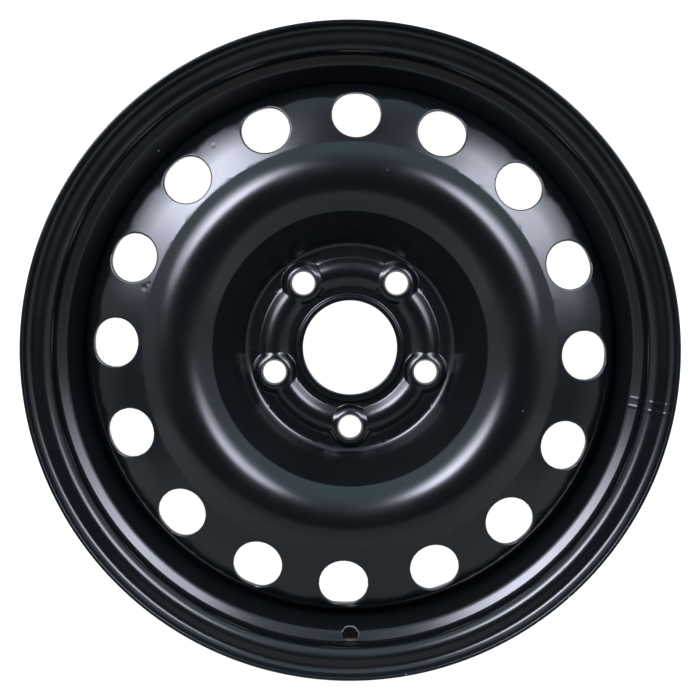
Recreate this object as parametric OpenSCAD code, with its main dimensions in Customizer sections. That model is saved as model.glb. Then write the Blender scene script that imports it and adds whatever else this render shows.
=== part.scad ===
// Steel road wheel: a rolled rim and a pressed disc, joined by weld beads.
// Millimetres. Z is the wheel's axis and points outboard, and the hub's mounting plane is z = 0.

/* [Rim] */
// Diameter of the bead seats at the flanges
bead_d = 405.6; // [380:0.1:432]
// Width between the tyre faces of the flanges
rim_w = 165.1; // [152.4:0.1:190.5]
// Distance from the rim's centre plane out to the mounting plane
wheel_offset = 40; // [34:1:46]
// Thickness of the rim's strip
rim_t = 2.4; // [2:0.1:3]
// Height of the flanges over the bead seats
flange_h = 17.3; // [16.5:0.1:19]
// Width of the flanges, from tyre face to lip
flange_w = 11; // [10:0.5:14]
// Tyre-side radius of the curl at the flanges' edge
curl_r = 8; // [6:0.5:9]
// Tyre-side fillet between flange and bead seat
seat_fillet = 6.5; // [5:0.5:7]
// Taper of the bead seats in degrees
seat_taper = 5; // [4:0.5:6]
// Width of the bead seats, from flange to hump
seat_w = 13; // [11:0.5:16]
// Height of the humps
hump_h = 1.2; // [0.6:0.1:2]
// Width of the humps, from seat to crest's far side
hump_w = 9; // [8:0.5:12]
// Depth of the drop centre's inner face, where the disc is seated, below the bead seats
well_depth = 19.8; // [17.5:0.1:22]
// Width of the drop centre's floor
well_w = 30; // [24:1:36]
// Depth below the bead seats where the valve ledge ends, on the strip's middle
ledge_depth = 10.3; // [9:0.1:11.5]
// Tilt of the valve ledge from the wheel's plane, in degrees
ledge_tilt = 26; // [20:1:32]
// Tilt of the wall below the ledge, in degrees
wall_tilt = 56; // [50:1:64]
// Depth of the inboard barrel below the bead seats, on the strip's middle
barrel_depth = 5.3; // [4:0.1:7]
// Slope of the barrel's rise from the drop centre, in degrees from the axis
barrel_rise = 30; // [24:1:40]
// Diameter of the valve hole
valve_d = 11.3; // [11.3:0.1:15.7]
// Depth of the valve hole's middle below the bead seats
valve_depth = 7.6; // [7:0.1:8.4]
// Turn of the valve hole about the axis
valve_at = -90; // [-180:1:180]

/* [Butt weld of the rim] */
// Turn of the seam about the axis
seam_at = -10.8; // [-180:0.1:180]
// Width of the seam in degrees of turn
seam_span = 1.6; // [0.5:0.1:4]
// Height of the seam over the rim's inner side
seam_h = 0.3; // [0.1:0.05:0.6]

/* [Disc] */
// Thickness of the disc
disc_t = 3.6; // [3:0.1:4.2]
// Diameter of the centre bore
bore_d = 65.1; // [57:0.1:67.5]
// Height of the bore's collar over the mounting plane
collar_h = 9; // [8:0.1:12]
// Distance of the ridge's crest inside the bolt circle
ridge_in = 2.4; // [1:0.1:4]
// Width of the ridge between its feet
ridge_w = 19; // [17:0.5:20]
// Slope of the ridge's flanks in degrees
ridge_tilt = 28; // [20:1:32]
// Reach of the hub pad past the bolt circle, to where it meets the bowl
pad_reach = 17.2; // [16:0.1:19]
// Slope of the bowl's wall in degrees
bowl_tilt = 52; // [45:1:56]
// Share of the way from pad to crown at which the bowl's wall eases into the crown
brow_share = 0.515; // [0.45:0.005:0.58]
// Slope of the crown's inner side in degrees
crown_in_tilt = 38; // [32:1:42]
// Width of the crown's outer side, from where the two sides would meet
crown_w = 25.9; // [23:0.1:29]
// Slope of the crown's outer side in degrees
crown_out_tilt = 29; // [24:1:34]
// Radius of the crown's bend as a share of the way from pad to crown
crown_round = 0.558; // [0.4:0.002:0.6]
// Width of the vent band, from the crown to the drop
band_w = 26; // [23:0.5:29]
// Slope of the vent band in degrees
band_tilt = 16; // [12:1:20]
// Width of the drop from the band to the skirt
drop_w = 13.2; // [12:0.1:15]
// Slope of the drop in degrees
drop_tilt = 34; // [28:1:40]
// Depth of the skirt's edge below the mounting plane
skirt_h = 14; // [11:1:20]
// Rounding of the sheared edges of rim and disc
edge_r = 0.8; // [0.4:0.1:1.1]

/* [Bolt holes] */
// Number of bolt holes
bolt_count = 5; // [4:1:6]
// Diameter of the bolt circle
bolt_pcd = 110; // [108:0.1:112]
// Turn of the first bolt hole about the axis
bolt_at = -90; // [-180:1:180]
// Diameter of the bolt holes
bolt_d = 15.7; // [14:0.1:16]
// Cone angle of the nut seats in degrees
seat_cone = 60; // [60:5:90]
// Diameter of the nut seats at the top of the bosses
boss_top_d = 18.6; // [18:0.1:20]
// Height of the bosses over the hub pad
boss_h = 4.3; // [4:0.1:5.5]
// Width of the flat land round the nut seats
boss_land = 0.4; // [0.2:0.1:0.8]
// Depth of the hollow behind each boss
hollow_h = 2; // [1.5:0.1:3]

/* [Vents] */
// Number of vents
vent_count = 16; // [8:1:18]
// Diameter of the vents
vent_d = 33.4; // [25:0.1:34]
// Distance of the vents' circle inside the start of the drop
vent_in = 9.4; // [8:0.1:11]
// Turn of the first vent about the axis
vent_at = -1.6; // [-180:0.1:180]

/* [Weld beads] */
// Number of beads between skirt and rim
bead_count = 4; // [3:1:6]
// Length of a bead in degrees of turn
bead_span = 48; // [20:1:55]
// Leg of the fillet
bead_leg = 4.5; // [3:0.1:6]

/* [Hidden] */
$fn = 180;
// Largest turn of a bend between two points of an outline, in degrees
bend_step = 7.5;
// Spare length of a cutting tool past the metal
cut = 1;
// Length of a punch in thicknesses of the sheet
punch_h = 8;

paint = "#1b1d20";
weld_paint = "#232528";

rim_half = rim_t / 2;
disc_half = disc_t / 2;
z_out = rim_w / 2 - wheel_offset;
z_in = -rim_w / 2 - wheel_offset;
bead_r = bead_d / 2;
well_r = bead_r - well_depth;
ledge_r = bead_r - ledge_depth;
barrel_r = bead_r - barrel_depth;
valve_r = bead_r - valve_depth;
lip_r = bead_r + flange_h - rim_half;
hump_rise = 4;
hump_bend = 6;
ledge_bend = 5;
wall_bend = 12;
floor_bend = 8;
barrel_bend = 15;
crest_r = seat_r(seat_w) + hump_h;
floor_r = well_r + rim_half;
ledge_z = z_out - seat_w - hump_w;
ledge_end_z = ledge_z - (crest_r - ledge_r) * tan(ledge_tilt);
floor_z = ledge_end_z - (ledge_r - floor_r) * tan(wall_tilt);
floor_end_z = floor_z - well_w;
barrel_z = floor_end_z - (barrel_r - floor_r) / tan(barrel_rise);
hump_foot = 8;
// Length of the seam's flash that is trimmed off at the lips
seam_trim = 2;

bore_r = bore_d / 2;
skirt_r = well_r - disc_half;
drop_r = skirt_r - drop_w;
band_r = drop_r - band_w;
vent_r = drop_r - vent_in;
crown_r = band_r - crown_w;
ridge_r = bolt_pcd / 2 - ridge_in;
pad_r = bolt_pcd / 2 + pad_reach;
brow_r = pad_r + brow_share * (crown_r - pad_r);
crown_bend = crown_round * (crown_r - pad_r);
collar_bend = 3.2;
foot_bend = 4.5;
ridge_bend = 11.4;
pad_bend = 7.9;
brow_bend = 6;
band_bend = 15;
drop_bend = 45;
skirt_bend = 8;
ridge_peak = ridge_w / 2 * tan(ridge_tilt);
brow_z = disc_half + (brow_r - pad_r) * tan(bowl_tilt);
crown_z = brow_z + (crown_r - brow_r) * tan(crown_in_tilt);
band_z = crown_z - (band_r - crown_r) * tan(crown_out_tilt);
drop_z = band_z - (drop_r - band_r) * tan(band_tilt);
skirt_z = drop_z - (skirt_r - drop_r) * tan(drop_tilt);

bolt_r = bolt_d / 2;
boss_top_r = boss_top_d / 2;
boss_top_z = disc_t + boss_h;
boss_top_tilt = 12;
boss_foot_tilt = 60;
boss_fillet = 2;
// Depth to which a boss's foot runs into the hub pad
boss_sink = 0.05;
foot_h = boss_fillet * (1 - cos(boss_foot_tilt));
dome_r = (boss_h + boss_sink - foot_h) / (cos(boss_top_tilt) - cos(boss_foot_tilt));
nut_seat_h = (boss_top_r - bolt_r) / tan(seat_cone / 2);
hollow_top_r = boss_top_r;
hollow_foot_r = hollow_top_r + hollow_h;
bead_belly = 0.66 * bead_leg;

// Middle of the strip at the bead seat, a given distance in from the flange
function seat_r(a) = bead_r - rim_half - a * tan(seat_taper);

function heading(a, b) = (b - a) / norm(b - a);
function left(u) = [-u[1], u[0]];
function turned(v, a) = [v[0] * cos(a) - v[1] * sin(a), v[0] * sin(a) + v[1] * cos(a)];
function reversed(list) = [for (i = [len(list) - 1:-1:0]) list[i]];
function arc(centre, from, turn) =
    let (n = max(1, ceil(abs(turn) / bend_step)))
    [for (i = [0:n]) centre + turned(from, turn * i / n)];

// Arc round corner b of a middle line, drawn on the line that lies a distance to its left
function bend(a, b, c, radius, shift) =
    let (u = heading(a, b))
    let (v = heading(b, c))
    let (side = sign(u[0] * v[1] - u[1] * v[0]))
    let (turn = acos(u * v))
    let (centre = b - radius * tan(turn / 2) * u + side * radius * left(u))
    arc(centre, (shift - side * radius) * left(u), side * turn);

function bends(line, radii, shift) =
    [for (i = [1:len(line) - 2]) each bend(line[i - 1], line[i], line[i + 1], radii[i - 1], shift)];

// Rounded end of a strip at p, from its left corner to its right one, as seen along u
function cap(p, u, half) =
    let (side = (half - edge_r) * left(u))
    concat(arc(p - edge_r * u + side, edge_r * left(u), -90),
           arc(p - edge_r * u - side, edge_r * u, -90));

// Section of a bent strip of even thickness along a middle line
function strip(line, radii, half) =
    let (last = len(line) - 1)
    concat(bends(line, radii, half),
           cap(line[last], heading(line[last - 1], line[last]), half),
           reversed(bends(line, radii, -half)),
           cap(line[0], heading(line[1], line[0]), half));

// Middle line of the rim from the outboard lip to the inboard one, as [radius, z]
function rim_line(trim) = [
    [lip_r, z_out + flange_w - trim],
    [lip_r, z_out + rim_half],
    [seat_r(0), z_out + rim_half],
    [seat_r(seat_w), z_out - seat_w],
    [crest_r, z_out - seat_w - hump_rise],
    [crest_r, ledge_z],
    [ledge_r, ledge_end_z],
    [floor_r, floor_z],
    [floor_r, floor_end_z],
    [barrel_r, barrel_z],
    [barrel_r, z_in + seat_w + hump_w + hump_foot],
    [crest_r, z_in + seat_w + hump_w],
    [crest_r, z_in + seat_w + hump_rise],
    [seat_r(seat_w), z_in + seat_w],
    [seat_r(0), z_in - rim_half],
    [lip_r, z_in - rim_half],
    [lip_r, z_in - flange_w + trim]
];
rim_radii = [
    curl_r - rim_half, seat_fillet + rim_half, hump_bend, hump_bend, ledge_bend,
    wall_bend, floor_bend, barrel_bend, barrel_bend, hump_bend, hump_bend, hump_bend, hump_bend,
    seat_fillet + rim_half, curl_r - rim_half
];

// Middle line of the disc from the bore's collar to the skirt's edge, as [radius, z]
disc_line = [
    [bore_r + disc_half, collar_h],
    [bore_r + disc_half, disc_half],
    [ridge_r - ridge_w / 2, disc_half],
    [ridge_r, disc_half + ridge_peak],
    [ridge_r + ridge_w / 2, disc_half],
    [pad_r, disc_half],
    [brow_r, brow_z],
    [crown_r, crown_z],
    [band_r, band_z],
    [drop_r, drop_z],
    [skirt_r, skirt_z],
    [skirt_r, -skirt_h]
];
disc_radii = [
    collar_bend, foot_bend, ridge_bend, foot_bend, pad_bend, brow_bend, crown_bend,
    band_bend, drop_bend, skirt_bend
];

// Dome of a bolt boss, from the top of the nut seat down to the hub pad
function boss_section() =
    let (top = [boss_top_r + boss_land, boss_top_z])
    let (centre = top - dome_r * [sin(boss_top_tilt), cos(boss_top_tilt)])
    let (dome = arc(centre, top - centre, boss_top_tilt - boss_foot_tilt))
    let (foot = dome[len(dome) - 1])
    let (rest = foot + boss_fillet * [sin(boss_foot_tilt), cos(boss_foot_tilt)])
    concat([[0, boss_top_z]], dome, arc(rest, foot - rest, boss_foot_tilt),
           [[rest[0], disc_half], [0, disc_half]]);

module on_bolts() {
    for (i = [0:bolt_count - 1])
        rotate([0, 0, bolt_at + i * 360 / bolt_count])
            translate([bolt_pcd / 2, 0, 0])
                children();
}

module valve_hole() {
    hole_z = ledge_z - (crest_r - valve_r) * tan(ledge_tilt);
    rotate([0, 0, valve_at])
        translate([valve_r, 0, hole_z])
            rotate([0, -ledge_tilt, 0])
                cylinder(h = punch_h * rim_t, d = valve_d, center = true);
}

// Flash of the butt weld, flush in the drop centre, where the disc is seated
module seam() {
    line = rim_line(seam_trim);
    last = len(line) - 1;
    inner = concat([line[0] - [rim_half + seam_h, 0]],
                   bends(line, rim_radii, -rim_half - seam_h),
                   [line[last] - [rim_half + seam_h, 0]]);
    middle = concat([line[0]], bends(line, rim_radii, 0), [line[last]]);
    difference() {
        rotate([0, 0, seam_at - seam_span / 2])
            rotate_extrude(angle = seam_span)
                polygon(concat(inner, reversed(middle)));
        translate([0, 0, floor_end_z])
            cylinder(h = well_w, r = well_r);
    }
}

module rim() {
    color(paint)
        difference() {
            union() {
                rotate_extrude() polygon(strip(rim_line(0), rim_radii, rim_half));
                seam();
            }
            valve_hole();
        }
}

module boss() {
    rotate_extrude() polygon(boss_section());
}

// Hollow behind a boss, bolt hole and nut seat, as one tool
module bolt_cut() {
    translate([0, 0, -cut])
        cylinder(h = hollow_h + cut, r1 = hollow_foot_r + cut, r2 = hollow_top_r);
    translate([0, 0, -cut])
        cylinder(h = boss_top_z + 2 * cut, r = bolt_r);
    translate([0, 0, boss_top_z - nut_seat_h])
        cylinder(h = nut_seat_h + cut, r1 = bolt_r, r2 = boss_top_r + cut * tan(seat_cone / 2));
}

module vents() {
    for (i = [0:vent_count - 1])
        rotate([0, 0, vent_at + i * 360 / vent_count])
            translate([vent_r, 0, band_z - (vent_r - band_r) * tan(band_tilt)])
                rotate([0, band_tilt, 0])
                    cylinder(h = punch_h * disc_t, d = vent_d, center = true);
}

module disc() {
    color(paint)
        difference() {
            union() {
                rotate_extrude() polygon(strip(disc_line, disc_radii, disc_half));
                on_bolts() boss();
            }
            on_bolts() bolt_cut();
            vents();
        }
}

module weld_beads() {
    color(weld_paint)
        for (i = [0:bead_count - 1])
            rotate([0, 0, (i + 0.5) * 360 / bead_count - bead_span / 2])
                rotate_extrude(angle = bead_span)
                    polygon([
                        [well_r, -skirt_h],
                        [well_r - disc_t + edge_r, -skirt_h],
                        [well_r - bead_leg / 2, -skirt_h - bead_belly],
                        [well_r, -skirt_h - bead_leg]
                    ]);
}

rim();
disc();
weld_beads();
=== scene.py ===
import bpy
import bmesh
import math
from mathutils import Matrix, Vector
from mathutils.bvhtree import BVHTree


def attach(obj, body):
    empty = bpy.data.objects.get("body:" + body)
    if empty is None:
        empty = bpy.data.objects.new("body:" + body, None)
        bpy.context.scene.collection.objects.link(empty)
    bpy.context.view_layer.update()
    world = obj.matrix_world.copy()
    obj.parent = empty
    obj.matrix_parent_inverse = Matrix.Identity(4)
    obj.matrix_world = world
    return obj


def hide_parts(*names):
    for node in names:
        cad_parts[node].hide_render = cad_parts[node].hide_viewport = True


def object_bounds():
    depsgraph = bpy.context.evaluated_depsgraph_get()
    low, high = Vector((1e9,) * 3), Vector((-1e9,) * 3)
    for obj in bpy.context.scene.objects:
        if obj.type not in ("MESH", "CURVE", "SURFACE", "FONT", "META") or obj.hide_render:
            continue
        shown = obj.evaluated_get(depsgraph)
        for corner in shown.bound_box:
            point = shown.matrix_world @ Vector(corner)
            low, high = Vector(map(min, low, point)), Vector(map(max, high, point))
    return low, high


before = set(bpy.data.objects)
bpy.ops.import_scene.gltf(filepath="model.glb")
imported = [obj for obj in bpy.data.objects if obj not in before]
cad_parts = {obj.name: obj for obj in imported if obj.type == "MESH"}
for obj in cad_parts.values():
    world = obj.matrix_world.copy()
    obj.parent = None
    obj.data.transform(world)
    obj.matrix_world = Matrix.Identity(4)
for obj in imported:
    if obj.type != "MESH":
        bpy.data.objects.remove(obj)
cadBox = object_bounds()
print("frame loaded:", sorted(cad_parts))

mm = 0.001
fullTurn = 2 * math.pi
scene = bpy.context.scene
scene.view_settings.view_transform = "Standard"


# colours are written as sRGB hex and used as linear values
def linear(hexColour):
    out = []
    for i in (1, 3, 5):
        c = int(hexColour[i:i + 2], 16) / 255
        out.append(c / 12.92 if c <= 0.04045 else ((c + 0.055) / 1.055) ** 2.4)
    return (*out, 1.0)


# adds a node; settings are its attributes, inputs are values or the sockets they come from
def addNode(tree, kind, inputs=None, **settings):
    node = tree.nodes.new(kind)
    for key, value in settings.items():
        setattr(node, key, value)
    for key, value in (inputs or {}).items():
        if isinstance(value, bpy.types.NodeSocket):
            tree.links.new(value, node.inputs[key])
        else:
            node.inputs[key].default_value = value
    return node


def smoothStep(low, high, x):
    t = min(1.0, max(0.0, (x - low) / (high - low)))
    return t * t * (3 - 2 * t)


def wrapped(a):
    return (a + math.pi) % fullTurn - math.pi


# place in metres of a point at a radius and a height in mm
def polar(r, a, z):
    return (r * math.cos(a) * mm, r * math.sin(a) * mm, z * mm)


# points inside a flat, with one close to each bend so that the shading stays flat
def addFlat(line, start, end, normal, flatStep, lead):
    length = (end - start).length
    if length < 3 * lead:
        return
    u = (end - start) / length
    inner = length - 2 * lead
    steps = max(1, math.ceil(inner / flatStep))
    for k in range(steps + 1):
        line.append((start + u * (lead + inner * k / steps), normal))


# stations along a strip's middle line: a point and the unit normal on its left
def bentLine(p, lead=0.6):
    corners = [Vector(c) for c in p["corners"]]
    line = []
    last = corners[0]
    for a, b, c, radius in zip(corners, corners[1:], corners[2:], p["radii"]):
        u = (b - a).normalized()
        v = (c - b).normalized()
        side = 1 if u.x * v.y - u.y * v.x > 0 else -1
        turn = math.acos(max(-1.0, min(1.0, u.dot(v))))
        normal = Vector((-u.y, u.x))
        start = b - u * radius * math.tan(turn / 2)
        addFlat(line, last, start, normal, p["flatStep"], lead)
        centre = start + normal * side * radius
        steps = max(2, math.ceil(math.degrees(turn) / p["arcStep"]))
        for k in range(steps + 1):
            spun = normal.copy()
            spun.rotate(Matrix.Rotation(side * turn * k / steps, 2))
            line.append((centre - spun * side * radius, spun))
        last = line[-1][0]
    u = (corners[-1] - corners[-2]).normalized()
    addFlat(line, last, corners[-1], Vector((-u.y, u.x)), p["flatStep"], lead)
    return line


# rounded end of a strip, from its left face round to its right one
def roundedEnd(tip, normal, out, half, edge, steps=5):
    points = []
    for centre, a, b in ((tip - out * edge + normal * (half - edge), normal, out),
                         (tip - out * edge - normal * (half - edge), out, -normal)):
        for k in range(steps + 1):
            t = math.pi / 2 * k / steps
            points.append(centre + (a * math.cos(t) + b * math.sin(t)) * edge)
    return points


# closed section of a bent strip: points in mm with their rows, above 0 on its left and below 0 on its right
def stripSection(line, p):
    half = p["thickness"] / 2
    first, last = Vector(p["corners"][0]), Vector(p["corners"][-1])
    startCap = roundedEnd(first, -line[0][1], (first - line[0][0]).normalized(), half, p["edge"])
    endCap = roundedEnd(last, line[-1][1], (last - line[-1][0]).normalized(), half, p["edge"])
    points = [(q + n * half, i + 1) for i, (q, n) in enumerate(line)]
    points += [(q, 0) for q in endCap]
    points += [(q - n * half, -i - 1) for i, (q, n) in reversed(list(enumerate(line)))]
    points += [(q, 0) for q in startCap]
    return points


# spins a closed section about Z; spans are (degrees, steps), twist turns a point by its radius
def spinSection(points, startAt, spans, twist=None):
    bm = bmesh.new()
    row = bm.verts.layers.int.new("row")
    verts = []
    for (r, z), number in points:
        a = math.radians(startAt + (twist(r) if twist else 0))
        verts.append(bm.verts.new(polar(r, a, z)))
        verts[-1][row] = number
    geom = verts + [bm.edges.new((verts[i - 1], verts[i])) for i in range(len(verts))]
    for degrees, steps in spans:
        spun = bmesh.ops.spin(bm, geom=geom, cent=(0, 0, 0), axis=(0, 0, 1), angle=math.radians(degrees),
                              steps=steps, use_merge=len(spans) == 1)
        geom = spun["geom_last"]
    bmesh.ops.remove_doubles(bm, verts=bm.verts, dist=0.002 * mm)
    bmesh.ops.recalc_face_normals(bm, faces=bm.faces)
    return bm


# frame of a hole: x points outwards along the sheet, z out of its front
def holeFrame(at, r, z, tilt):
    return (Matrix.Rotation(math.radians(at), 4, "Z") @ Matrix.Translation((r * mm, 0, z * mm))
            @ Matrix.Rotation(math.radians(tilt), 4, "Y"))


# number of the hole that is nearest by angle, and how far off it is
def nearest(holes, point):
    a = math.atan2(point.y, point.x)
    gaps = [abs(wrapped(a - math.radians(at))) for at, place in holes]
    least = min(gaps)
    return gaps.index(least), least


# where a line along a hole's axis meets the sheet, from its front or from its back
def meetSheet(tree, place, radius, a, reach, side):
    start = place @ Vector(polar(radius, a, side * reach))
    axis = (place.to_3x3() @ Vector((0, 0, -side))).normalized()
    hit = tree.ray_cast(start, axis)[0]
    if hit is None:
        raise ValueError(f"no sheet under a ring of {radius} mm at {math.degrees(a):.1f} degrees")
    return hit


# opens blocks of rows and columns round holes on both sides of a strip, draws the open loops in to rings
# and joins the last rings through the sheet; gives the edges of the holes, front side and back side
def pierce(bm, holes, line, block, rings, lift, frontSign=1, shares=(0.7, 0.4)):
    row = bm.verts.layers.int["row"]
    rLow, rHigh, zLow, halfAngle = block
    rows = [i + 1 for i, (q, n) in enumerate(line) if rLow < q.x < rHigh and q.y > zLow]
    inside = []
    for f in bm.faces:
        numbers = [v[row] for v in f.verts]
        if min(numbers) * max(numbers) <= 0:
            continue
        numbers = [abs(n) for n in numbers]
        if rows[0] <= min(numbers) and max(numbers) <= rows[-1]:
            if nearest(holes, f.calc_center_median())[1] < math.radians(halfAngle):
                inside.append(f)
    bmesh.ops.delete(bm, geom=inside, context="FACES")
    loop = [e for e in bm.edges if e.is_boundary]
    reach = {}        # hole, side, angle and distance of each vertex of the open loops
    for v in {v for e in loop for v in e.verts}:
        hole = nearest(holes, v.co)[0]
        q = holes[hole][1].inverted() @ v.co
        side = 1 if v[row] * frontSign > 0 else -1
        reach[v] = (hole, side, math.atan2(q.y, q.x), math.hypot(q.x, q.y) / mm)
    for radius, share in [(rings[0], s) for s in shares] + [(ring, 0) for ring in rings]:
        new = bmesh.ops.extrude_edge_only(bm, edges=loop)["geom"]
        known = {}
        for v in (g for g in new if isinstance(g, bmesh.types.BMVert)):
            old = next(e.other_vert(v) for e in v.link_edges if e.other_vert(v) in reach)
            hole, side, a, far = reach[old]
            v.co = lift(holes[hole][1], side, radius + (far - radius) * share, a)
            known[v] = (hole, side, a, far)
        reach = known
        loop = [g for g in new if isinstance(g, bmesh.types.BMEdge)
                and g.verts[0] in reach and g.verts[1] in reach]
    for hole in range(len(holes)):
        bmesh.ops.bridge_loops(bm, edges=[e for e in loop if reach[e.verts[0]][0] == hole])
    front = [e for e in loop if reach[e.verts[0]][1] > 0]
    back = [e for e in loop if reach[e.verts[0]][1] < 0]
    return front, back


def roundEdges(bm, edges, radius, segments):
    bmesh.ops.bevel(bm, geom=list(edges), offset=radius * mm, offset_type="OFFSET", segments=segments,
                    profile=0.5, affect="EDGES", clamp_overlap=True, material=-1)


def finishMesh(bm, name, material, sharpAngle=38):
    bmesh.ops.recalc_face_normals(bm, faces=bm.faces)
    for f in bm.faces:
        f.smooth = True
    for e in bm.edges:
        e.smooth = not (len(e.link_faces) == 2 and e.calc_face_angle(0) > math.radians(sharpAngle))
    openEdges = sum(1 for e in bm.edges if len(e.link_faces) != 2)
    triangles = sum(len(f.verts) - 2 for f in bm.faces)
    mesh = bpy.data.meshes.new(name)
    bm.to_mesh(mesh)
    bm.free()
    mesh.materials.append(material)
    piece = bpy.data.objects.new(name, mesh)
    scene.collection.objects.link(piece)
    print(f"{name}: {triangles} triangles, {openEdges} open edges")
    return piece


# Black stoving enamel on steel: a smooth dark film whose gloss shows the lamps, with faint orange peel,
# two small dents in the vent band and a few pale specks where the film is chipped
enamel = {
    "colour": "#090c0e",
    "roughness": 0.21,
    "glossiest": -0.02, "dullest": 0.03,     # added to the roughness in patches
    "cloudSize": 45,                         # mm, size of the patches
    "ior": 1.5,
    "peelSize": 2.2, "peelHeight": 0.012,    # mm, orange peel
    "chipColour": "#aeb6ba",
    "chips": [                               # x, y and radius in mm
        (145.5, -164.4, 0.7), (124.9, -180.4, 0.6), (36.9, -215.7, 0.6), (115.9, -41.3, 0.45),
        (25, 120.6, 0.45), (-131.8, 135.8, 0.6),
    ],
    "dents": [                               # x, y, radius and depth in mm; the first two run together
        (-139.1, 41.6, 3.2, 0.1), (-136.4, 44.2, 2.0, 0.07), (-92.8, 138.1, 2.4, 0.08),
    ],
}


# 1 at a spot of the face that shows, falling to 0 at its radius
def spotMask(tree, flat, spot, interpolation):
    away = addNode(tree, "ShaderNodeVectorMath", {0: flat, 1: (spot[0] * mm, spot[1] * mm, 0)},
                   operation="DISTANCE")
    fade = addNode(tree, "ShaderNodeMapRange", {
        "Value": away.outputs["Value"], "From Min": 0.0, "From Max": spot[2] * mm,
        "To Min": 1.0, "To Max": 0.0}, interpolation_type=interpolation)
    return fade.outputs["Result"]


def enamelMaterial(name, look):
    material = bpy.data.materials.new(name)
    material.use_nodes = True
    tree = material.node_tree
    tree.nodes.clear()
    place = addNode(tree, "ShaderNodeTexCoord").outputs["Object"]
    flat = addNode(tree, "ShaderNodeVectorMath", {0: place, 1: (1, 1, 0)}, operation="MULTIPLY").outputs[0]
    peel = addNode(tree, "ShaderNodeTexNoise", {
        "Vector": place, "Scale": 1 / (look["peelSize"] * mm), "Detail": 2.0, "Roughness": 0.5})
    cloud = addNode(tree, "ShaderNodeTexNoise", {
        "Vector": place, "Scale": 1 / (look["cloudSize"] * mm), "Detail": 3.0, "Roughness": 0.55})
    rough = addNode(tree, "ShaderNodeMapRange", {
        "Value": cloud.outputs["Fac"], "From Min": 0.3, "From Max": 0.7,
        "To Min": look["roughness"] + look["glossiest"], "To Max": look["roughness"] + look["dullest"]})
    height = addNode(tree, "ShaderNodeMath", {0: peel.outputs["Fac"], 1: look["peelHeight"]},
                     operation="MULTIPLY").outputs[0]
    for dent in look["dents"]:
        mask = spotMask(tree, flat, dent, "SMOOTHSTEP")
        hollow = addNode(tree, "ShaderNodeMath", {0: mask, 1: dent[3]}, operation="MULTIPLY").outputs[0]
        height = addNode(tree, "ShaderNodeMath", {0: height, 1: hollow}, operation="SUBTRACT").outputs[0]
    bump = addNode(tree, "ShaderNodeBump", {"Height": height, "Strength": 1.0, "Distance": mm})
    bare = 0.0
    for chip in look["chips"]:
        mask = spotMask(tree, flat, chip, "SMOOTHERSTEP")
        bare = addNode(tree, "ShaderNodeMath", {0: bare, 1: mask}, operation="MAXIMUM").outputs[0]
    colour = addNode(tree, "ShaderNodeMix", {"Factor": bare}, data_type="RGBA")
    colour.inputs["A"].default_value = linear(look["colour"])
    colour.inputs["B"].default_value = linear(look["chipColour"])
    shader = addNode(tree, "ShaderNodeBsdfPrincipled", {
        "Base Color": colour.outputs["Result"], "Roughness": rough.outputs["Result"], "IOR": look["ior"],
        "Normal": bump.outputs["Normal"]})
    addNode(tree, "ShaderNodeOutputMaterial", {"Surface": shader.outputs["BSDF"]})
    return material


blackEnamel = enamelMaterial("black_stoving_enamel", enamel)
weldEnamel = enamelMaterial("black_enamel_on_weld", {**enamel, "roughness": 0.38, "peelSize": 1.2})


# the rolled rim: one strip from the outboard lip to the inboard one, tyre side on its left
rim = {
    "thickness": 2.4, "edge": 0.8,
    "corners": [
        (218.9, 53.55), (218.9, 43.75), (201.6, 43.75),                      # outboard flange
        (200.55, 30.55), (201.75, 26.55), (201.75, 22.55),                   # bead seat and hump
        (194.9, 18.908), (184.2, 6.457), (184.2, -26.224),                   # ledge, wall and drop centre
        (197.5, -49.26), (197.5, -92.55),                                    # barrel
        (201.663, -100.55), (201.663, -105.55), (200.463, -109.55),          # hump and bead seat
        (201.6, -123.75), (218.9, -123.75), (218.9, -133.55),                # inboard flange
    ],
    "radii": [6.8, 7.7, 6, 6, 2.4, 6, 8, 15, 15, 6, 6, 6, 6, 7.7, 6.8],
    "arcStep": 9, "flatStep": 14,          # degrees of a bend and mm of a flat between rows
    "seamAt": -10.8, "seamSpan": 1.6, "seamHeight": 0.3, "seamFrom": 188,
    "seamBand": 0.3,                       # height of the band as a share of the taller flash's
    "flashSpan": 0.35, "lowFlash": 0.55,   # half width in degrees, and height of the lower flash as a share
    # degrees and steps, finer at the valve hole and at the seam
    "startAt": -7.8, "spans": [(273.8, 182), (8, 20), (72.2, 48), (6, 30)],
    "valveAt": -90, "valveR": 195.6, "valveZ": 19.55, "valveTilt": -26, "valveRadius": 5.65,
    "valveEdge": 1.4, "valveRings": (2.6, 1.5, 0),
    "valveBlock": (185.6, 201.7, 8, 3.4),  # radii, lowest z and half angle that the rings take up
    "valveFlat": 4.8, "valveSqueeze": 0.35, "valveReach": 11,
}


# the butt weld that closes the ring: a low band with a thin flash along each edge, ground flush in the well
def raiseSeam(bm, line, p):
    row = bm.verts.layers.int["row"]
    edge = p["seamSpan"] / 2
    for v in bm.verts:
        if v[row] >= 0 or line[-v[row] - 1][0].x < p["seamFrom"]:
            continue
        normal = line[-v[row] - 1][1]
        a = math.atan2(v.co.y, v.co.x)
        off = math.degrees(wrapped(a - math.radians(p["seamAt"])))
        band = p["seamBand"] * (1 - smoothStep(edge - 0.2, edge + 0.1, abs(off)))
        flash = max(p["lowFlash"] * (1 - abs(off - edge) / p["flashSpan"]), 1 - abs(off + edge) / p["flashSpan"])
        rise = p["seamHeight"] * max(band, flash, 0) * mm
        v.co -= Vector((normal.x * math.cos(a), normal.x * math.sin(a), normal.y)) * rise


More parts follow.
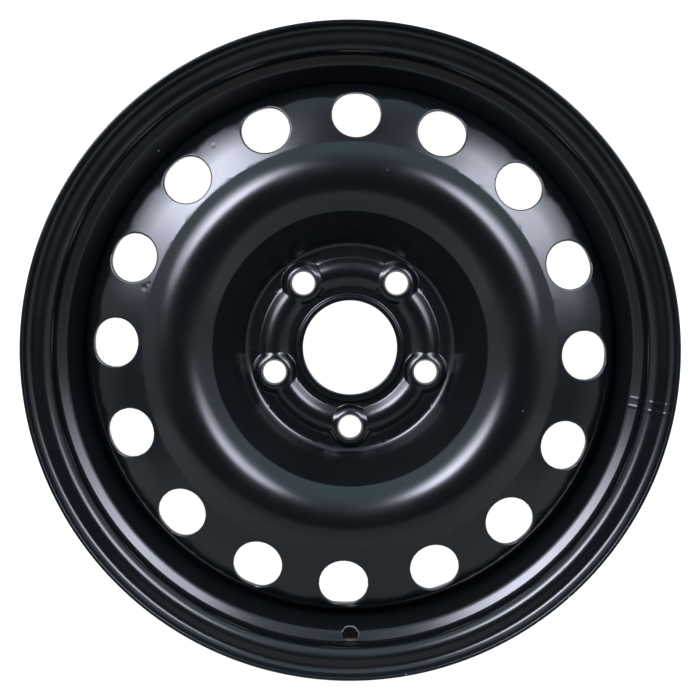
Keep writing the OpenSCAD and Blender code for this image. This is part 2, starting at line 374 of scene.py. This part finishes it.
def makeRim(p):
    line = bentLine(p)
    bm = spinSection(stripSection(line, p), p["startAt"], p["spans"])
    raiseSeam(bm, line, p)
    tree = BVHTree.FromBMesh(bm)
    holes = [(p["valveAt"], holeFrame(p["valveAt"], p["valveR"], p["valveZ"], p["valveTilt"]))]
    rings = [p["valveRadius"] + d for d in p["valveRings"]]

    # keeps the rings on the ledge, short of the bend at its outer edge
    def ledge(place, side, r, a):
        x, y = r * math.cos(a), r * math.sin(a)
        if x > p["valveFlat"]:
            x = p["valveFlat"] + (x - p["valveFlat"]) * p["valveSqueeze"]
        return meetSheet(tree, place, math.hypot(x, y), math.atan2(y, x), p["valveReach"], side)

    # the strip's left side is the tyre's, so the side that shows is its right one
    front, back = pierce(bm, holes, line, p["valveBlock"], rings, ledge, frontSign=-1)
    roundEdges(bm, front, p["valveEdge"], 4)
    return finishMesh(bm, "rim_strip", blackEnamel)


rimStrip = makeRim(rim)
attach(rimStrip, "root")
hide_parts("rim")


# the pressed disc: one sheet from the bore's collar to the skirt's edge, front on its left
disc = {
    "thickness": 3.6, "edge": 0.8,
    "corners": [
        (34.35, 9), (34.35, 1.8),                                            # collar
        (43.1, 1.8), (52.6, 6.851), (62.1, 1.8), (72.2, 1.8),                # ridge and hub pad
        (94.809, 30.738), (116.1, 47.372), (139.8, 34.235),                  # bowl and crown
        (163.5, 28.326), (174.692, 23.107),                                  # vent band and drop
        (181.2, 7), (181.2, -4),                                             # drafted wall and skirt
    ],
    "radii": [3.2, 4.5, 11.4, 4.5, 7.9, 6, 30.291, 7, 82.291, 9, 12],
    "arcStep": 6, "flatStep": 4, "steps": 240,
    "ventCount": 16, "ventAt": -1.6, "ventR": 159.3, "ventZ": 29.373, "ventTilt": 14, "ventRadius": 16.7,
    "ventEdge": 0.85, "ventRings": (2.4, 1.3, 0), "ventReach": 14,
    "ventBlock": (138.5, 177.3, -20, 9),   # radii, lowest z and half angle that the rings take up
    "ventTwist": (78, 132),                # radii over which the columns turn to line up with the vents
    # degrees off the even pitch, as punched
    "ventOff": [0, 0, 0.5, 1, 0.1, 0.2, 0.5, 1.2, 0, 0, 0.8, 0.9, 0, 0.2, -0.6, -0.2],
    "boltCount": 5, "boltAt": -90, "boltCircleR": 55, "boltRadius": 7.85, "seatTopR": 9.3, "land": 0.4,
    "bossTop": 7.9, "domeR": 7.008, "domeTop": 12, "domeFoot": 60, "footFillet": 2, "padTop": 3.6,
    "seatBottom": 5.389, "hollow": 2, "bossBlend": 1.6, "blendOver": 1.8,
    "bossRings": [16.6, 15.9, 15.3, 14.7, 14.1, 13.4, 12.6, 11.8, 11, 10.3],
    "boltBlock": (37.5, 73.4, -20, 19.5), "boltReach": 16,
}


# height of a bolt boss over the pad at a distance from the bolt's axis
def bossRise(p, d):
    top = p["seatTopR"] + p["land"]
    if d <= top:
        return p["bossTop"] - p["padTop"]
    topTilt, footTilt = math.radians(p["domeTop"]), math.radians(p["domeFoot"])
    domeX, domeZ = top - p["domeR"] * math.sin(topTilt), p["bossTop"] - p["domeR"] * math.cos(topTilt)
    footX, footZ = domeX + p["domeR"] * math.sin(footTilt), domeZ + p["domeR"] * math.cos(footTilt)
    if d <= footX:
        return domeZ + math.sqrt(p["domeR"] ** 2 - (d - domeX) ** 2) - p["padTop"]
    restX, restZ = footX + p["footFillet"] * math.sin(footTilt), footZ + p["footFillet"] * math.cos(footTilt)
    if d >= restX:
        return 0.0
    return max(0.0, restZ - math.sqrt(p["footFillet"] ** 2 - (d - restX) ** 2) - p["padTop"])


# two heights joined with a soft valley between them
def softUnion(a, b, width):
    if width <= 0:
        return max(a, b)
    h = max(0.0, width - abs(a - b)) / width
    return max(a, b) + h * h * width / 4


def makeDisc(p):
    line = bentLine(p)
    column = 360 / p["steps"]
    ventPhase = p["ventAt"] - column * round(p["ventAt"] / column)
    top = p["seatTopR"] + p["land"]

    def twist(r):
        return ventPhase * smoothStep(*p["ventTwist"], r)

    bm = spinSection(stripSection(line, p), p["boltAt"], [(360, p["steps"])], twist)
    tree = BVHTree.FromBMesh(bm)

    def band(place, side, r, a):
        return meetSheet(tree, place, r, a, p["ventReach"], side)

    # boss, nut seat and hollow, by the distance from the bolt's axis
    def boss(place, side, r, a):
        hit = meetSheet(tree, place, r, a, p["boltReach"], side)
        if side < 0:
            hit.z = max(hit.z, min(p["hollow"], p["seatTopR"] + p["hollow"] - r) * mm)
        elif r <= p["boltRadius"]:
            hit.z = p["seatBottom"] * mm
        elif r <= top:
            hit.z = p["bossTop"] * mm
        else:
            rise = bossRise(p, r)
            soft = p["bossBlend"] * smoothStep(top, top + p["blendOver"], r) * min(1.0, rise)
            hit.z = (p["padTop"] + softUnion(hit.z / mm - p["padTop"], rise, soft)) * mm
        return hit

    vents = [p["ventAt"] + i * 360 / p["ventCount"] + off for i, off in enumerate(p["ventOff"])]
    vents = [(at, holeFrame(at, p["ventR"], p["ventZ"], p["ventTilt"])) for at in vents]
    rings = [p["ventRadius"] + d for d in p["ventRings"]]
    front, back = pierce(bm, vents, line, p["ventBlock"], rings, band)
    roundEdges(bm, front + back, p["ventEdge"], 3)
    bolts = [p["boltAt"] + i * 360 / p["boltCount"] for i in range(p["boltCount"])]
    bolts = [(at, holeFrame(at, p["boltCircleR"], 0, 0)) for at in bolts]
    pierce(bm, bolts, line, p["boltBlock"], p["bossRings"] + [top, p["seatTopR"], p["boltRadius"]], boss)
    return finishMesh(bm, "disc_pressing", blackEnamel)


discPressing = makeDisc(disc)
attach(discPressing, "root")
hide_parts("disc")


# fillet welds behind the disc, laid in small ripples that run out at their ends
beads = {
    "count": 4, "span": 48, "steps": 180,
    "rootR": 183, "rootZ": -4, "leg": 4.5, "width": 2.8, "belly": 2.97,
    "face": [(0.88, 0.42), (0.66, 0.78), (0.36, 1.12)],      # shares of width and belly
    "toe": (0.12, 0.94),                                     # shares of width and leg
    "ripple": 3.4, "depth": 0.1,                             # mm, and share of the section
    "endSize": 0.25, "endPower": 14,                         # section left at the ends, and how late it shrinks
}


def makeBeads(p):
    bm = bmesh.new()
    pitch = 360 / p["count"]
    profile = [(0, 0), (-p["width"], 0)] + [(-x * p["width"], -z * p["belly"]) for x, z in p["face"]]
    profile += [(-p["toe"][0] * p["width"], -p["toe"][1] * p["leg"]), (0, -p["leg"])]
    for i in range(p["count"]):
        start = math.radians((i + 0.5) * pitch - p["span"] / 2)
        verts = [bm.verts.new(polar(p["rootR"] + x, start, p["rootZ"] + z)) for x, z in profile]
        edges = [bm.edges.new((verts[k - 1], verts[k])) for k in range(len(verts))]
        spun = bmesh.ops.spin(bm, geom=verts + edges, cent=(0, 0, 0), axis=(0, 0, 1),
                              angle=math.radians(p["span"]), steps=p["steps"])
        lastEdges = [g for g in spun["geom_last"] if isinstance(g, bmesh.types.BMEdge)]
        bmesh.ops.contextual_create(bm, geom=edges)
        bmesh.ops.contextual_create(bm, geom=lastEdges)
    for v in bm.verts:
        r, a = math.hypot(v.co.x, v.co.y) / mm, math.degrees(math.atan2(v.co.y, v.co.x))
        along = (a - pitch / 2) % pitch
        along = along if along < pitch / 2 else along - pitch
        run = math.sqrt(max(0.0, 1 - abs(2 * along / p["span"]) ** p["endPower"]))
        turn = math.radians(a)
        phase = turn * p["rootR"] / p["ripple"]
        wave = 1 - p["depth"] * (phase - math.floor(phase)) ** 2
        size = (p["endSize"] + (1 - p["endSize"]) * run) * wave
        v.co = polar(p["rootR"] + (r - p["rootR"]) * size, turn,
                     p["rootZ"] + (v.co.z / mm - p["rootZ"]) * size)
    return finishMesh(bm, "weld_fillets", weldEnamel, 60)


weldFillets = makeBeads(beads)
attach(weldFillets, "root")
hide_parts("weld_beads")


# pale floor: white to the eye and in reflections, with a painted contact shadow: a dark ring round the lower lip
floorLook = {
    "size": 24.0, "colour": "#f2f2f2", "glow": 0.985, "shade": 0.3,
    "lipR": 216, "shadeTo": 231, "fadeTo": 242, "shadeDepth": 0.006,     # mm, and light left in the ring
}


def makeFloor(p):
    bm = bmesh.new()
    bmesh.ops.create_grid(bm, x_segments=1, y_segments=1, size=p["size"] / 2)
    bmesh.ops.translate(bm, verts=bm.verts, vec=(0, 0, cadBox[0][2]))
    mesh = bpy.data.meshes.new("floor")
    bm.to_mesh(mesh)
    bm.free()
    floor = bpy.data.objects.new("floor", mesh)
    scene.collection.objects.link(floor)
    material = bpy.data.materials.new("pale_floor")
    material.use_nodes = True
    tree = material.node_tree
    tree.nodes.clear()
    place = addNode(tree, "ShaderNodeTexCoord").outputs["Object"]
    flat = addNode(tree, "ShaderNodeVectorMath", {0: place, 1: (1, 1, 0)}, operation="MULTIPLY").outputs[0]
    radius = addNode(tree, "ShaderNodeVectorMath", {0: flat}, operation="LENGTH").outputs["Value"]
    # painted shadow: glow and colour drop to shadeDepth from lipR out to shadeTo, then fade back by fadeTo
    inside = addNode(tree, "ShaderNodeMath", {0: radius, 1: p["lipR"] * mm}, operation="LESS_THAN").outputs[0]
    fade = addNode(tree, "ShaderNodeMapRange", {
        "Value": radius, "From Min": p["shadeTo"] * mm, "From Max": p["fadeTo"] * mm,
        "To Min": p["shadeDepth"], "To Max": 1.0}, interpolation_type="SMOOTHSTEP").outputs["Result"]
    level = addNode(tree, "ShaderNodeMath", {0: inside, 1: fade}, operation="MAXIMUM").outputs[0]
    strength = addNode(tree, "ShaderNodeMath", {0: level, 1: p["glow"]}, operation="MULTIPLY").outputs[0]
    dim = addNode(tree, "ShaderNodeMath", {0: level, 1: p["shade"]}, operation="MULTIPLY").outputs[0]
    path = addNode(tree, "ShaderNodeLightPath").outputs
    seen = path["Is Camera Ray"]
    for ray in ("Is Transmission Ray", "Is Glossy Ray"):
        seen = addNode(tree, "ShaderNodeMath", {0: seen, 1: path[ray]}, operation="MAXIMUM").outputs[0]
    plain = addNode(tree, "ShaderNodeBsdfDiffuse", {"Color": linear(p["colour"])})
    shade = addNode(tree, "ShaderNodeBsdfDiffuse", {"Color": dim})
    glow = addNode(tree, "ShaderNodeEmission", {"Color": (1, 1, 1, 1), "Strength": strength})
    white = addNode(tree, "ShaderNodeAddShader", {0: shade.outputs[0], 1: glow.outputs[0]})
    mixed = addNode(tree, "ShaderNodeMixShader", {0: seen, 1: plain.outputs[0], 2: white.outputs[0]})
    addNode(tree, "ShaderNodeOutputMaterial", {"Surface": mixed.outputs[0]})
    mesh.materials.append(material)
    return floor


makeFloor(floorLook)
print("floor laid")

# two wide soft boxes at the wheel's upper left and right, each dimmer towards its rim, and a pale board at its
# foot, in a room that is dark behind the camera, pale towards the ceiling (+Y) and dark towards the ground
studio = {
    "ceiling": 1.2, "ground": 0.03, "darkTo": 18, "paleFrom": 62,       # levels, and degrees from the axis
    "ceilingColour": (0.72, 1.0, 1.2), "groundColour": (0.95, 1.0, 1.05), "lampColour": (0.93, 0.97, 1.14),
    "boxes": [
        {"name": "core_left", "azimuth": 132, "polar": 36, "distance": 1.7, "size": (0.42, 0.34), "radiance": 8},
        {"name": "box_left", "azimuth": 133, "polar": 37, "distance": 1.73, "size": (0.74, 0.56), "radiance": 10},
        {"name": "scrim_left", "azimuth": 137, "polar": 41, "distance": 1.76, "size": (1.1, 0.86), "radiance": 8},
        {"name": "core_right", "azimuth": 43, "polar": 36, "distance": 1.7, "size": (0.42, 0.34), "radiance": 5},
        {"name": "box_right", "azimuth": 42, "polar": 37, "distance": 1.73, "size": (0.74, 0.56), "radiance": 6.5},
        {"name": "scrim_right", "azimuth": 36, "polar": 41, "distance": 1.76, "size": (1.1, 0.86), "radiance": 5.2},
    ],
    "board": {"name": "foot_board", "place": (0, -0.226, 0.235), "size": (1.2, 0.35), "radiance": 0.38},
}


def makeRoom(p):
    world = bpy.data.worlds.new("room")
    scene.world = world
    world.use_nodes = True
    tree = world.node_tree
    tree.nodes.clear()
    toward = addNode(tree, "ShaderNodeTexCoord").outputs["Generated"]
    part = addNode(tree, "ShaderNodeSeparateXYZ", {"Vector": toward}).outputs
    wall = addNode(tree, "ShaderNodeMapRange", {
        "Value": part["Z"], "From Min": math.cos(math.radians(p["paleFrom"])),
        "From Max": math.cos(math.radians(p["darkTo"])), "To Min": 1.0, "To Max": 0.0},
        interpolation_type="SMOOTHSTEP").outputs["Result"]
    high = addNode(tree, "ShaderNodeMapRange", {
        "Value": part["Y"], "From Min": -1.0, "From Max": 1.0}).outputs["Result"]
    level = addNode(tree, "ShaderNodeMapRange", {
        "Value": part["Y"], "From Min": -1.0, "From Max": 1.0,
        "To Min": p["ground"], "To Max": p["ceiling"]}).outputs["Result"]
    colour = addNode(tree, "ShaderNodeMix", {"Factor": high}, data_type="RGBA")
    colour.inputs["A"].default_value = (*p["groundColour"], 1)
    colour.inputs["B"].default_value = (*p["ceilingColour"], 1)
    strength = addNode(tree, "ShaderNodeMath", {0: wall, 1: level}, operation="MULTIPLY").outputs[0]
    sky = addNode(tree, "ShaderNodeBackground", {"Color": colour.outputs["Result"], "Strength": strength})
    addNode(tree, "ShaderNodeOutputWorld", {"Surface": sky.outputs[0]})


def addLamp(name, shape, size, area, radiance, colour, place, away):
    lamp = bpy.data.lights.new(name, "AREA")
    lamp.shape = shape
    lamp.size, lamp.size_y = size
    lamp.color = colour
    lamp.energy = radiance * math.pi * area
    holder = bpy.data.objects.new(name, lamp)
    holder.location = place
    holder.rotation_euler = away.to_track_quat("Z", "Y").to_euler()
    scene.collection.objects.link(holder)


def makeLamps(p):
    for box in p["boxes"]:
        a, t = math.radians(box["azimuth"]), math.radians(box["polar"])
        away = Vector((math.sin(t) * math.cos(a), math.sin(t) * math.sin(a), math.cos(t)))
        area = math.pi / 4 * box["size"][0] * box["size"][1]
        addLamp(box["name"], "ELLIPSE", box["size"], area, box["radiance"], p["lampColour"],
                away * box["distance"], away)
    board = p["board"]
    addLamp(board["name"], "RECTANGLE", board["size"], board["size"][0] * board["size"][1], board["radiance"],
            p["groundColour"], board["place"], Vector((0, -1, 0)))


makeRoom(studio)
makeLamps(studio)
print("room and lamps set:", len(studio["boxes"]) + 1, "lamps")

# camera that looks along the wheel's axis from a little above it, with its frame shifted back over the wheel
eye = {"place": (-4.3, 45, 1150.5), "shift": (0.0089, -0.0965), "focal": 1650, "frame": 700, "sensor": 36}


def makeCamera(p):
    camera = bpy.data.cameras.new("eye")
    camera.sensor_width = p["sensor"]
    camera.lens = p["focal"] * p["sensor"] / p["frame"]
    camera.shift_x, camera.shift_y = p["shift"]
    camera.clip_start, camera.clip_end = 0.05, 20
    holder = bpy.data.objects.new("eye", camera)
    holder.location = Vector(p["place"]) * mm
    scene.collection.objects.link(holder)
    scene.camera = holder


makeCamera(eye)
print("camera set")
